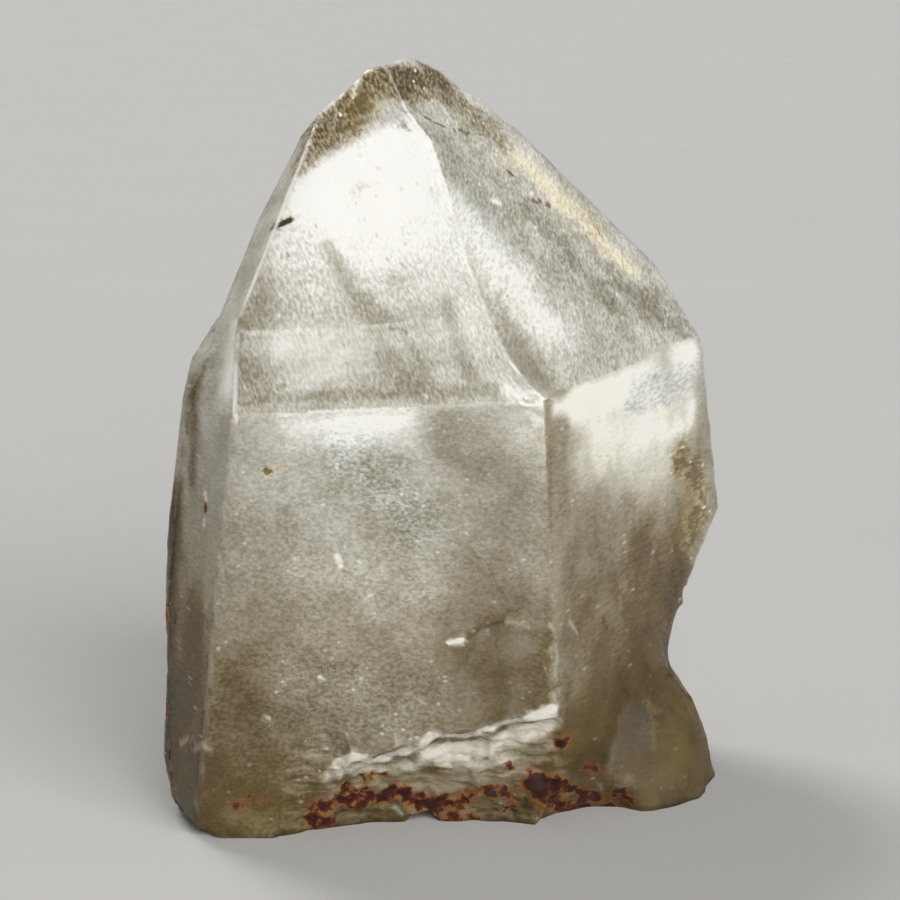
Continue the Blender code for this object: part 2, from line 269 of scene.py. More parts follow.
# Each mark is laid over the ones before it
MARKS = (
    # Front face of the point: a painted glow of light shining through its heart and upper part, darker bands
    # that slant down to the right, a creamy terrace and a painted shadow above its foot
    *on_face(
        "front_point",
        Mark(((390, 260),), 60.0, tone=0.74, grain=0.8),
        Mark(((262, 285), (248, 335), (240, 385)), 3.6, tone=0.60),
        Mark(((300, 235), (305, 290), (330, 325)), 3.6, tone=0.82, grain=1.0),
        # Painted glow across the upper part of the face
        Mark(((325, 235), (390, 245), (445, 250)), 7.0, tone=0.97),
        Mark(((450, 260), (470, 310)), 4.0, tone=0.86),
        Mark(((328, 246), (358, 304), (395, 370), (412, 396)), 1.1, tone=0.60, strength=0.75, ragged=0.3),
        Mark(((365, 300), (405, 334), (440, 394)), 1.0, tone=0.58, strength=0.75, ragged=0.3),
        Mark(((376, 340), (398, 368), (426, 394)), 2.3, tone=0.58, strength=0.75, ragged=0.3),
        Mark(((414, 328), (440, 355), (469, 386)), 0.8, tone=0.88, strength=0.8, ragged=0.3),
        Mark(((250, 346), (330, 344), (400, 338), (470, 330)), 1.3, tone=0.84, strength=0.5, soft=0.8),
        Mark(
            ((245, 334), (330, 331), (406, 325), (474, 318)),
            0.3, tone=0.92, strength=0.5, soft=0.5, ragged=0.05,
        ),
        Mark(((400, 290), (428, 335), (445, 375)), 2.0, tone=0.80),
        Mark(((452, 305), (468, 340), (480, 385)), 1.4, tone=0.64, ragged=0.3),
        Mark(((480, 325), (500, 365), (515, 385)), 2.2, tone=0.82),
        Mark(((292, 348), (350, 348), (318, 372)), 3.4, tone=0.88, grain=0.4),
        # Painted glow: the brightest patch, near the top
        Mark(
            ((322, 194), (350, 168), (392, 155), (418, 205), (345, 212)),
            4.2, tone=1.1, grain=0.35, soft=0.85, ragged=0.3,
        ),
        Mark(((408, 128), (425, 165), (445, 225)), 1.8, tone=1.0, soft=0.7),
        # Painted shadow just above the foot of the face
        Mark(((246, 399), (330, 395), (420, 394), (500, 389)), 0.9, tone=0.60, strength=0.8),
    ),
    # Right face of the point
    *on_face(
        "right_point",
        Mark(((560, 260),), 60.0, tone=0.72, warm=0.05, grain=0.95),
        Mark(((440, 150), (470, 190), (490, 225)), 4.4, tone=0.66, warm=-0.3),
        Mark(((455, 215), (505, 265), (550, 325)), 5.2, tone=1.0),
        Mark(((530, 212), (562, 245), (610, 300)), 2.6, tone=0.58, warm=-0.3, ragged=0.3),
        Mark(((625, 290), (665, 315)), 4.5, tone=0.58, warm=-0.2, ragged=0.3),
        Mark(
            ((515, 158), (552, 190), (592, 232), (622, 262)),
            3.2, tone=0.92, warm=0.55, grain=1.0, ragged=0.4,
        ),
        Mark(((525, 345), (545, 375)), 3.4, tone=0.60, grain=0.5),
    ),
    # Painted highlights along the ridge between the front and right faces of the point, and down its left
    # edge
    Mark(((411, 112), (440, 189), (464, 250), (488, 328), (526, 386)), 1.2, rim=1.0, soft=0.3),
    Mark(((233, 402), (238, 340), (250, 300), (269, 241), (288, 193), (318, 136)), 1.1, rim=0.7, soft=0.3),
    Mark(((425, 118), (450, 130), (490, 136)), 0.55, dirt=0.60, ragged=0.5),
    Mark(((450, 95), (485, 113)), 0.45, dirt=0.52, ragged=0.5),
    Mark(((510, 172), (513, 174)), 0.6, dirt=0.8, depth=0.12),
    Mark(((530, 198), (547, 203)), 0.75, dirt=0.75, depth=0.10, ragged=0.4),
    Mark(((595, 225), (602, 240)), 0.7, dirt=0.5, warm=0.9, ragged=0.5),
    Mark(((492, 200), (500, 203)), 0.55, tone=0.98, depth=0.12),
    # Rubbed tip: etched and stained, and painted darker as painted shade where no light shines through it
    Mark(
        ((320, 134), (352, 94), (390, 78), (430, 84), (468, 110)),
        3.5, tone=0.45, warm=0.5, grain=1.5, soft=0.95, ragged=0.45,
    ),
    Mark(((445, 90), (470, 112), (500, 140)), 2.2, tone=0.56, warm=0.3, grain=1.3, ragged=0.5),
    Mark(((400, 72), (440, 78)), 1.4, tone=0.36, warm=0.4, grain=1.2, ragged=0.4),
    Mark(((296, 168), (314, 140), (335, 115)), 1.6, tone=0.52, warm=0.5, grain=1.5, soft=0.9, ragged=0.5),
    Mark(((325, 140), (350, 128), (380, 120), (410, 116)), 1.5, dirt=0.46, ragged=0.6),
    Mark(((352, 118), (362, 98), (374, 106)), 1.3, dirt=0.66, warm=1.0, ragged=0.5),
    Mark(((355, 118), (385, 122), (405, 128)), 0.7, dirt=0.42, ragged=0.5),
    Mark(((357, 82), (353, 98)), 0.35, tone=0.90, ragged=0.5),
    # Front prism face: paler at the top with a painted glow just under its top edge, darker and stained
    # towards the foot, partly as painted shade
    *on_face(
        "front_prism",
        Mark(((380, 560),), 60.0, tone=0.58, grain=0.5),
        Mark(((290, 450), (400, 455)), 8.0, tone=0.78, warm=-0.1),
        Mark(((245, 700), (230, 760)), 8.0, tone=0.42, warm=0.45, grain=0.4),
        Mark(((485, 640), (505, 700)), 7.5, tone=0.42, warm=0.25, grain=0.25),
        Mark(((310, 680), (400, 710)), 6.0, tone=0.57, warm=0.2, grain=0.8),
        Mark(((335, 500), (330, 560), (400, 575)), 8.0, tone=0.71, grain=0.7),
        Mark(((350, 455), (385, 485), (410, 515)), 3.6, tone=0.65, warm=-0.45, grain=1.1, ragged=0.35),
        Mark(((432, 410), (480, 480)), 2.6, tone=0.56, ragged=0.3),
        Mark(((500, 405), (532, 440)), 3.4, tone=0.78),
        Mark(((300, 414), (345, 424), (395, 416)), 3.4, tone=1.05),
        Mark(((250, 420), (520, 402)), 0.8, tone=0.78, strength=0.6),
    ),
    # Painted highlight along the edge between the point and the front prism
    Mark(((240, 412), (300, 404), (400, 400), (530, 396)), 1.2, rim=1.0, soft=0.3),
    Mark(((266, 470), (268, 472)), 0.65, dirt=0.72, warm=1.0, depth=0.06),
    Mark(((277, 467), (290, 464)), 0.5, tone=0.78, warm=0.5, ragged=0.4),
    Mark(((338, 556), (341, 565)), 0.42, tone=1.0, depth=0.1, soft=0.8, ragged=0.0),
    Mark(((448, 643), (462, 640)), 0.34, tone=1.0, depth=-0.08, soft=0.7, ragged=0.0),
    Mark(((468, 639), (480, 628), (505, 622)), 0.3, tone=0.33, depth=0.06),
    Mark(((507, 622), (520, 624), (528, 628)), 0.35, tone=0.64, depth=-0.05, ragged=0.0),
    Mark(((425, 598), (488, 600)), 0.45, tone=0.58, strength=0.6),
    Mark(((368, 595), (371, 595)), 0.28, tone=0.9, depth=-0.04),
    Mark(((319, 677), (322, 678)), 0.3, tone=0.95, depth=-0.04),
    Mark(((266, 717), (269, 718)), 0.3, tone=0.85, depth=-0.04),
    Mark(((402, 694), (412, 696), (424, 703)), 0.3, tone=0.72, depth=-0.04, ragged=0.5),
    Mark(((369, 702), (367, 733)), 0.28, tone=0.60, depth=-0.04, ragged=0.4),
    Mark(((396, 735), (397, 746)), 0.35, tone=0.75, depth=-0.05, ragged=0.4),
    # Chipped corner where four faces meet
    Mark(((522, 393), (540, 402)), 1.1, tone=1.0, depth=0.15, soft=0.8, ragged=0.5),
    Mark(((528, 412), (540, 420)), 0.7, tone=0.9, depth=0.06, ragged=0.5),
    # Right prism face: darker and stained towards its foot, partly as painted shade
    *on_face(
        "right_prism",
        Mark(((600, 560),), 60.0, tone=0.52, warm=0.2, grain=0.4),
        Mark(((590, 620), (600, 700)), 8.0, tone=0.42, warm=0.5, grain=0.3),
        Mark(((650, 590), (640, 660)), 10.0, tone=0.34, warm=0.8),
    ),
    # Lower right and lobe: warm stain, painted darker as painted shade, most of all in the lobe's left
    # crease
    Mark(((680, 560), (672, 640), (664, 680)), 4.0, tone=0.27, warm=1.2),
    Mark(((590, 750), (640, 780), (690, 770)), 9.0, tone=0.32, warm=1.4, grain=0.15),
    Mark(((660, 680), (700, 750), (680, 790)), 7.0, tone=0.33, warm=1.6, grain=0.1, strength=0.9),
    Mark(((645, 670), (628, 730), (620, 785)), 3.0, tone=0.27, warm=1.6, grain=0.1),
    # Upper part of the right prism face: a painted glow of light shining through it, and cool streaks
    *on_face(
        "right_prism",
        Mark(((590, 450), (660, 462)), 5.5, tone=0.86),
        Mark(((602, 432), (642, 424), (684, 405)), 4.4, tone=1.0, soft=0.95, grain=0.4),
        Mark(((556, 408), (580, 402)), 1.3, tone=1.0, grain=0.3, soft=0.9),
        Mark(((578, 405), (620, 390), (690, 357)), 2.7, tone=1.1, grain=0.3, soft=0.8, ragged=0.05),
        Mark(
            ((636, 388), (668, 385), (696, 366)),
            2.2, tone=0.84, warm=-0.4, grain=1.1, ragged=0.5, strength=0.8,
        ),
        Mark(((625, 408), (668, 402)), 0.8, tone=0.88, warm=-0.4, grain=1.0, ragged=0.5),
        Mark(((645, 436), (686, 424), (692, 404)), 1.5, tone=1.06, warm=0.1, ragged=0.3),
    ),
    Mark(((690, 472), (688, 515), (678, 560)), 3.4, warm=1.0, dirt=0.40, ragged=0.4),
    Mark(
        ((680, 456), (696, 476), (704, 503), (690, 540)),
        2.4, tone=0.52, warm=0.9, dirt=0.64, grain=1.3, ragged=0.6,
    ),
    # Beside the edge between the front and right prisms a faint pale band, and over the edge a darker strip
    # of painted shade that tones down its highlight
    Mark(((556, 430), (556, 560), (554, 700)), 1.8, tone=0.60, strength=0.4, face="right_prism"),
    Mark(((549, 450), (549, 560), (548, 705)), 0.6, tone=0.46, rim=0.0, strength=0.8, soft=0.6),
    Mark(((545, 435), (551, 437)), 0.6, warm=1.0, dirt=0.35),
    Mark(((550, 624), (556, 634)), 0.45, tone=0.66, depth=0.08, ragged=0.5),
    Mark(((556, 640), (550, 654)), 0.5, tone=0.66, depth=0.08, ragged=0.5),
    Mark(((570, 622), (578, 634)), 0.35, tone=0.70, depth=0.08, ragged=0.4),
    Mark(((544, 648), (547, 668)), 0.9, warm=1.0, tone=0.40, strength=0.7),
    Mark(((603, 620), (607, 628)), 0.5, tone=0.28, ragged=0.4),
    # Lobe at the lower right
    Mark(((647, 700), (652, 722), (655, 748)), 0.7, dirt=0.85, warm=1.0, ragged=0.5),
    Mark(((664, 672), (676, 690), (690, 705), (698, 735)), 1.4, dirt=0.68, warm=1.0, ragged=0.6),
    Mark(((700, 745), (703, 770)), 0.6, dirt=0.5, ragged=0.5),
    # Left side: a pale band down the taper as a painted highlight, and the flank painted dark and warm,
    # stain and painted shade together
    *on_face(
        "left_taper",
        Mark(((275, 200), (246, 300), (232, 345), (226, 385)), 2.6, tone=0.84, grain=0.1),
        Mark(((240, 322), (228, 385)), 2.0, tone=0.98, grain=0.1),
    ),
    Mark(((228, 400), (214, 520), (205, 600)), 2.4, tone=0.66, grain=0.3, face="left_prism"),
    Mark(((193, 385), (194, 440), (192, 480)), 1.6, tone=0.38),
    Mark(((172, 500), (168, 620), (168, 760)), 2.8, tone=0.20, warm=1.5),
    Mark(((192, 620), (186, 760)), 4.5, tone=0.36, warm=1.5, grain=0.4, face="left_prism"),
    Mark(((222, 326), (208, 333)), 0.8, dirt=0.7, rim=1.0, ragged=0.4),
    Mark(((206, 505), (205, 512)), 0.5, rust=0.55),
    Mark(((205, 494), (206, 498)), 0.5, tone=0.95),
    Mark(((204, 520), (204, 524)), 0.4, tone=0.9),
    Mark(((175, 616), (175, 622)), 0.5, tone=0.15),
    Mark(((276, 227), (283, 224), (290, 221)), 0.35, tone=0.05, warm=1.0, soft=0.6),
    Mark(((167, 600), (166, 660), (166, 720), (172, 785)), 0.6, dirt=0.62, rust=0.45, ragged=0.5),
    Mark(((180, 744), (187, 738)), 0.45, tone=0.75, depth=0.1, ragged=0.5),
    Mark(((194, 750), (202, 744), (212, 750)), 0.38, tone=0.65, depth=0.1, ragged=0.5),
    Mark(((213, 588), (208, 598), (205, 606)), 0.5, tone=0.70, depth=0.08, ragged=0.5),
    # Broken base
    Mark(((200, 800), (300, 810), (420, 795), (600, 795)), 6.0, tone=0.36, warm=0.9, grain=0.3),
    Mark(((335, 775), (354, 768), (372, 775), (422, 764)), 1.2, tone=0.80, warm=0.35, soft=0.8, ragged=0.3),
    Mark(((340, 790), (430, 782), (500, 775), (545, 750)), 2.2, tone=0.58, warm=0.5, soft=0.9, ragged=0.3),
    Mark(
        ((432, 750), (450, 752), (480, 748), (508, 740), (546, 724)),
        1.5, tone=1.02, warm=0.25, soft=0.7, ragged=0.25,
    ),
    Mark(((430, 764), (470, 766), (510, 757)), 0.9, tone=0.78, warm=0.4, soft=0.8, ragged=0.4),
    Mark(
        ((338, 764), (354, 757), (372, 762), (411, 750), (422, 748)),
        0.6, tone=0.94, warm=0.25, soft=0.5, ragged=0.15,
    ),
    Mark(
        ((422, 748), (431, 736), (450, 737), (472, 735), (487, 729), (508, 722), (529, 719), (552, 709)),
        0.6, tone=0.97, warm=0.25, soft=0.5, ragged=0.15,
    ),
    Mark(
        ((330, 778), (354, 766), (372, 771), (411, 759), (426, 748), (472, 742), (508, 730), (550, 715)),
        0.8, rim=1.0,
    ),
    Mark(((230, 815), (300, 820)), 2.5, warm=1.4, tone=0.44),
    Mark(((235, 806), (250, 800), (266, 798)), 0.9, dirt=0.62, rust=0.30, ragged=0.5),
    Mark(((318, 818), (328, 806), (345, 800)), 1.7, rust=0.74, ragged=0.5),
    Mark(((352, 808), (368, 796), (382, 800)), 1.4, rust=0.80, ragged=0.5),
    Mark(((395, 790), (415, 800), (445, 804)), 1.3, rust=0.84, ragged=0.5),
    Mark(((350, 790), (340, 786)), 0.7, rust=0.62, ragged=0.5),
    Mark(((460, 802), (480, 793), (508, 794)), 1.1, rust=0.88, ragged=0.45),
    Mark(((505, 790), (512, 806), (504, 812)), 0.6, rust=0.85, ragged=0.45),
    Mark(((440, 815), (480, 818)), 1.0, rust=0.62, ragged=0.5),
    Mark(((536, 782), (548, 798), (560, 806), (590, 806)), 2.0, rust=0.96, ragged=0.4),
    Mark(((555, 785), (585, 792), (612, 806)), 1.2, rust=0.90, ragged=0.5),
    Mark(((604, 800), (620, 790), (632, 802)), 0.6, rust=0.60, ragged=0.5),
    Mark(((560, 745), (568, 743)), 0.8, rust=0.85, ragged=0.4),
    Mark(((368, 777), (388, 776)), 0.9, rust=0.42, warm=1.4, ragged=0.3),
    Mark(((500, 770), (515, 766)), 0.8, rust=0.42, ragged=0.4),
    Mark(((586, 768), (596, 770)), 0.5, rust=0.55, ragged=0.5),
    # Back and sides, which the photograph doesn't show: the same veils, stain and rust
    Mark(((3.0, 15.0, 47.0), (5.0, 15.0, 36.0)), 9.0, tone=0.94, grain=0.7),
    Mark(((-12.0, 12.0, 44.0), (-17.0, 8.0, 33.0)), 7.5, tone=0.86, warm=-0.2),
    Mark(((9.0, 15.0, 52.0), (13.0, 14.0, 40.0), (16.0, 12.0, 30.0)), 2.8, tone=0.66, ragged=0.35),
    Mark(((-3.0, 15.0, 48.0), (1.0, 15.0, 36.0), (4.0, 15.0, 24.0)), 2.4, tone=0.68, ragged=0.35),
    Mark(((-14.0, 12.0, 41.0), (-11.0, 13.0, 26.0)), 1.8, tone=0.92, ragged=0.35),
    Mark(((8.0, 15.0, 30.0), (11.0, 14.0, 20.0)), 3.0, tone=0.80, ragged=0.35),
    Mark(((-20.0, 6.0, 18.0), (-14.0, 11.0, 8.0)), 6.0, tone=0.50, warm=0.5, ragged=0.3),
    Mark(((12.0, 13.0, 34.0), (17.0, 10.0, 25.0)), 3.4, warm=0.8, dirt=0.38, ragged=0.5),
    Mark(((-22.0, 2.0, 34.0), (-20.0, 5.0, 22.0)), 3.4, warm=0.8, dirt=0.36, ragged=0.5),
    Mark(((23.0, 0.0, 38.0), (22.0, 4.0, 32.0)), 4.0, tone=0.82, ragged=0.3),
    Mark(((-2.0, 15.0, 12.0), (2.0, 15.0, 7.0)), 4.0, tone=0.70, ragged=0.3),
    Mark(((-9.0, 15.0, 1.0), (-3.0, 15.0, 2.4)), 1.3, rust=0.86, ragged=0.45),
    Mark(((1.0, 15.0, 1.4), (8.0, 14.0, 1.8)), 1.6, rust=0.84, ragged=0.45),
    Mark(((13.0, 12.0, 2.5), (16.0, 10.0, 1.0)), 0.9, rust=0.70, ragged=0.5),
    Mark(((-3.0, 15.0, 6.0), (-1.0, 15.0, 7.0)), 0.7, rust=0.55, ragged=0.5),
)

def mm(length):
    """Millimetres as metres."""
    return length * MM


def face_normal(turn, lean):
    """The way a crystal face looks, with the crystal's own axis leaning to the left."""
    level = math.cos(math.radians(lean))
    across = math.sin(math.radians(turn)) * level
    towards = -math.cos(math.radians(turn)) * level
    normal = Vector((across, towards, math.sin(math.radians(lean))))
    normal.rotate(Matrix.Rotation(math.radians(-AXIS_LEAN), 3, "Y"))
    return normal


FACE_NAMES = tuple(CRYSTAL_FACES)
FACE_NORMALS = np.array([face_normal(*facing) for facing in CRYSTAL_FACES.values()])


def camera_pose():
    """Where the camera stands, and its turn."""
    down = math.radians(CAMERA_DOWN)
    forward = Vector((0.0, math.cos(down), -math.sin(down)))
    return CAMERA_TARGET - forward * CAMERA_DISTANCE, forward.to_track_quat("-Z", "Y")


def solid_tree():
    """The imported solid, ready for rays."""
    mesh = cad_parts[NODE].data
    places = [vert.co for vert in mesh.vertices]
    faces = [tuple(polygon.vertices) for polygon in mesh.polygons]
    return BVHTree.FromPolygons(places, faces)


TREE = solid_tree()


def seen_at(pixel):
    """The place on the solid that the camera sees at a pixel, or the outline's place just beside it."""
    across = (pixel[0] / PHOTO_SIDE - 0.5) * SENSOR / LENS
    upward = (0.5 - pixel[1] / PHOTO_SIDE) * SENSOR / LENS
    eye, turn = camera_pose()
    ray = turn @ Vector((across, upward, -1.0))
    place = TREE.ray_cast(eye, ray.normalized())[0]
    if place is not None:
        return place
    passing = eye + ray * CAMERA_DISTANCE
    place, normal, index, beside = TREE.find_nearest(passing)
    if beside > mm(BESIDE):
        raise ValueError(f"the camera sees no crystal at {pixel}")
    return place


def smooth_step(value, low, high):
    """0 below low, 1 above high, with soft ends."""
    share = np.clip((value - low) / (high - low), 0.0, 1.0)
    return share * share * (3.0 - 2.0 * share)


def past(lengths, span):
    """0 before a span in millimetres, 1 after it, with soft ends."""
    return smooth_step(lengths, mm(span[0]), mm(span[1]))


# Shape


def deselect():
    """Nothing is selected or being edited."""
    if bpy.context.object and bpy.context.object.mode != "OBJECT":
        bpy.ops.object.mode_set(mode="OBJECT")
    bpy.ops.object.select_all(action="DESELECT")


def make_active(piece):
    """Only this piece is selected."""
    deselect()
    piece.select_set(True)
    bpy.context.view_layer.objects.active = piece


def merged_copy(name):
    """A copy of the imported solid's mesh, with its loose triangles merged."""
    piece = bpy.data.objects.new(name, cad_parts[NODE].data.copy())
    bpy.context.scene.collection.objects.link(piece)
    piece.data.materials.clear()
    make_active(piece)
    bpy.ops.object.mode_set(mode="EDIT")
    bpy.ops.mesh.select_all(action="SELECT")
    bpy.ops.mesh.remove_doubles(threshold=mm(MERGED))
    bpy.ops.object.mode_set(mode="OBJECT")
    return piece


def refine(piece, depth, scale):
    """Rebuilds the mesh from even quads that keep the crystal's edges."""
    remesh = piece.modifiers.new("refine", "REMESH")
    remesh.mode = "SHARP"
    remesh.octree_depth = depth
    remesh.scale = scale
    remesh.use_smooth_shade = True
    make_active(piece)
    bpy.ops.object.modifier_apply(modifier=remesh.name)


def edit_vertices(piece, chosen):
    """Opens the piece for editing with only the chosen vertices selected."""
    make_active(piece)
    bpy.ops.object.mode_set(mode="EDIT")
    bpy.ops.mesh.select_mode(type="VERT")
    bpy.ops.mesh.select_all(action="DESELECT")
    bpy.ops.object.mode_set(mode="OBJECT")
    piece.data.vertices.foreach_set("select", np.asarray(chosen, bool))
    bpy.ops.object.mode_set(mode="EDIT")


def cut_finer(piece, chosen):
    """Halves the mesh's edges between the chosen vertices."""
    edit_vertices(piece, chosen)
    bpy.ops.mesh.subdivide(number_cuts=1)
    bpy.ops.object.mode_set(mode="OBJECT")


def soften(piece, chosen, rounds):
    """Smooths the chosen vertices again and again."""
    edit_vertices(piece, chosen)
    bpy.ops.mesh.vertices_smooth(factor=0.5, repeat=rounds)
    bpy.ops.object.mode_set(mode="OBJECT")


def rows_of(mesh, measure):
    """A measure of every vertex, as rows of three."""
    flat = np.empty(len(mesh.vertices) * 3, np.float32)
    mesh.vertices.foreach_get(measure, flat)
    return flat.reshape(-1, 3).astype(float)


def places_of(mesh):
    """Every vertex's place, as rows."""
    return rows_of(mesh, "co")


def move_to(mesh, places):
    """Puts every vertex in its new place."""
    mesh.vertices.foreach_set("co", places.astype(np.float32).ravel())
    mesh.update()


def edge_points(mesh, hollow):
    """Points along the solid's sharp edges beside a crystal face: outward ones, or hollow ones."""
    pairs = {}
    for polygon in mesh.polygons:
        for key in polygon.edge_keys:
            pairs.setdefault(key, []).append(polygon)
    points = []
    for (a, b), (first, second) in pairs.items():
        bend = first.normal.angle(second.normal, 0.0)
        inward = (second.center - first.center).dot(first.normal) > 0.0
        planar = face_match(first.normal)[1] or face_match(second.normal)[1]
        if bend < math.radians(SHARP_EDGE) or inward != hollow or not (planar or hollow):
            continue
        start, end = mesh.vertices[a].co, mesh.vertices[b].co
        steps = max(1, round((end - start).length / mm(EDGE_SPACING)))
        points.extend(start.lerp(end, step / steps) for step in range(steps + 1))
    return points


def face_match(normal):
    """The crystal face that looks this way most nearly, and whether it is that face."""
    match = FACE_NORMALS @ np.array(normal)
    best = int(np.argmax(match))
    return best, match[best] > SAME_FACE


def distances(places, points, far):
    """How far each place is from the nearest point, up to a limit."""
    tree = kdtree.KDTree(len(points))
    for index, point in enumerate(points):
        tree.insert(point, index)
    tree.balance()
    return np.array([min(far, tree.find(place)[2]) for place in places])


def faces_at(places):
    """The number of the crystal face that each place is nearest to, and whether it lies on it."""
    matches = [face_match(TREE.find_nearest(Vector(place))[1]) for place in places]
    return np.array([match[0] for match in matches]), np.array([match[1] for match in matches])


def broken_share(places, planar):
    """How far into broken quartz each place is: 0 on crystal faces and their narrow bevels, up to 1."""
    return past(distances(places, places[planar], mm(BROKEN_FAR)), BROKEN_EDGE)


def field(places, size, seed, octaves):
    """A soft random field between about -1 and 1, with lumps of this size in millimetres."""
    shift = Vector((seed * 7.3, seed * 3.1, seed * 5.7))
    return np.array([noise.fractal(Vector(place) / mm(size) + shift, 1.0, 2.0, octaves) for place in places])


def on_solid(point):
    """A place on the solid, from a pixel of the photograph or from a place in millimetres."""
    if len(point) == 2:
        return seen_at(point)
    return TREE.find_nearest(Vector(point) * MM)[0]


def line_on_solid(path):
    """Places along a path over the solid."""
    spacing = PIXEL_STEP if len(path[0]) == 2 else PLACE_STEP
    line = [on_solid(path[0])]
    for start, end in zip(path, path[1:]):
        steps = max(1, round(math.dist(start, end) / spacing))
        for step in range(1, steps + 1):
            line.append(on_solid(tuple(Vector(start).lerp(Vector(end), step / steps))))
    return np.array(line)


def away_from(places, line):
    """How far each place is from a line of points."""
    nearest = np.linalg.norm(places - line[0], axis=1)
    for start, end in zip(line, line[1:]):
        along = end - start
        share = np.clip((places - start) @ along / (along @ along + 1e-18), 0.0, 1.0)
        nearest = np.minimum(nearest, np.linalg.norm(places - start - np.outer(share, along), axis=1))
    return nearest


def bend_ridge(places):
    """The ridge between the front and right faces of the point isn't quite straight."""
    top, foot = np.array(seen_at(RIDGE_TOP)), np.array(seen_at(RIDGE_FOOT))
    line = foot - top
    share = (places - top) @ line / (line @ line)
    away = np.linalg.norm(places - top - np.outer(share, line), axis=1)
    reach = 1.0 - smooth_step(away, 0.0, mm(RIDGE_REACH))
    places[:, 0] += mm(np.interp(share, RIDGE_SHARE, RIDGE_MOVE, 0.0, 0.0)) * reach


def growth_step(places, faces):
    """Raises the front face of the point above its terrace line."""
    start = np.array(seen_at(TERRACE))
    face = FACE_NAMES.index("front_point")
    normal = FACE_NORMALS[face]
    uphill = np.array((0.0, 0.0, 1.0)) - normal * normal[2]
    height = (places - start) @ uphill / np.linalg.norm(uphill)
    return past(height, (-TERRACE_EDGE, TERRACE_EDGE)) * (faces == face) * mm(TERRACE_STEP)


def layering(places):
    """The broken base splits in thin layers, nearly level: how deep each place lies in its layer."""
    across, inward, height = places.T
    level = height / mm(LAYER) + LAYER_WAVER * field(places, *LAYER_WANDER)
    stepped = (level % 1.0) ** LAYER_SHARPNESS
    below = 1.0 - past(height, LAYERS_TOP)
    front = past(-inward, LAYERS_BACK) * (1.0 - past(across, LAYERS_RIGHT))
    return stepped * below * front


def ripples(places):
    """Curved ripples in the scar at the lower left of the front."""
    away = np.linalg.norm(places - np.array(seen_at(SCAR_CENTRE)), axis=1)
    wave = np.sin(away / mm(SCAR_RING) * 2.0 * math.pi + field(places, *RIPPLE_WANDER))
    return wave * past(away, SCAR_INSIDE) * (1.0 - past(away, SCAR_OUTSIDE))


def relief(places, faces, broken, sunk, shape):
    """How far each place stands proud of the smooth solid."""
    calm = CALM * past(places[:, 0], CALM_LEFT) * (1.0 - past(places[:, 2], CALM_TOP))
    proud = growth_step(places, faces) - sunk
    proud += field(places, *SWELLS) * shape.unevenness
    proud += field(places, *HACKLES) * shape.hackle * broken * (1.0 - calm)
    proud -= layering(places) * broken * shape.layers
    proud += ripples(places) * broken * shape.ripple
    return proud


def cut_detail(piece, lines):
    """Cuts the mesh finer on broken quartz and under small marks."""
    places = places_of(piece.data)
    broken = (broken_share(places, faces_at(places)[1]) > 0.0) & (places[:, 2] > mm(FOOT))
    cut_finer(piece, broken | near_marks(places, lines, FINE_MARK))
    cut_finer(piece, near_marks(places_of(piece.data), lines, TINY_MARK))


def wear_hollows(piece, creases):
    """Wears the hollow creases, the lobe and its outer corner smooth."""
    places = places_of(piece.data)
    across, inward, height = places.T
    low = (height < mm(WORN_TOP)) & (height > mm(FOOT)) & (np.abs(across) > mm(WORN_BESIDE))
    away = distances(places, creases, mm(CREASE_FAR))
    lobe = low & (across > mm(WORN_BESIDE)) & (inward < mm(LOBE_BACK))
    soften(piece, low & (away < mm(CREASE_NEAR)), CREASE_ROUNDS)
    soften(piece, lobe & (away < mm(LOBE_NEAR)), LOBE_ROUNDS)
    soften(piece, low & (across > mm(CORNER_RIGHT)) & (height < mm(CORNER_TOP)), CORNER_ROUNDS)


def shape_surface(mesh, places, proud):
    """Moves the surface out or in by its relief, and keeps the foot flat."""
    moved = places.copy()
    bend_ridge(moved)
    moved += rows_of(mesh, "normal") * proud[:, None]
    resting = places[:, 2] < mm(RESTING)
    moved[resting] = places[resting]
    moved[:, 2] = np.maximum(moved[:, 2], 0.0)
    move_to(mesh, moved)


def grain_axes():
    """For each crystal face, the ways along, across and out of its grain."""
    axes = []
    for name, normal in zip(FACE_NAMES, FACE_NORMALS):
        level = np.cross((0.0, 0.0, 1.0), normal)
        level /= np.linalg.norm(level)
        uphill = np.cross(normal, level)
        pointed = CRYSTAL_FACES[name][1] > POINT_SLOPE
        lean = math.radians(POINT_GRAIN.get(name, POINT_LEAN if pointed else 0.0))
        draw = FACE_DRAW.get(name, POINT_DRAW if pointed else PRISM_DRAW)
        along = level * math.cos(lean) + uphill * math.sin(lean)
        across = uphill * math.cos(lean) - level * math.sin(lean)
        axes.append((along * draw, across, normal))
    return np.array(axes)


def store_grain(mesh):
    """Keeps for each corner its place along and across the grain of its crystal face."""
    centres = np.array([polygon.center for polygon in mesh.polygons])
    corners = np.empty(len(mesh.loops), np.int32)
    mesh.loops.foreach_get("vertex_index", corners)
    starts = np.empty(len(mesh.polygons), np.int32)
    counts = np.empty(len(mesh.polygons), np.int32)
    mesh.polygons.foreach_get("loop_start", starts)
    mesh.polygons.foreach_get("loop_total", counts)
    if not np.array_equal(starts, np.concatenate(([0], np.cumsum(counts)[:-1]))):
        raise ValueError("the mesh's corners are not in order")
    axes = grain_axes()[np.repeat(faces_at(centres)[0], counts)]
    measured = np.einsum("lij,lj->li", axes, places_of(mesh)[corners])
    kept = mesh.attributes.new("grain_place", "FLOAT_VECTOR", "CORNER")
    kept.data.foreach_set("vector", measured.astype(np.float32).ravel())


def store(mesh, name, values):
    """Keeps one number a vertex, for the material."""
    kept = mesh.attributes.new(name, "FLOAT", "POINT")
    kept.data.foreach_set("value", np.asarray(values, np.float32))


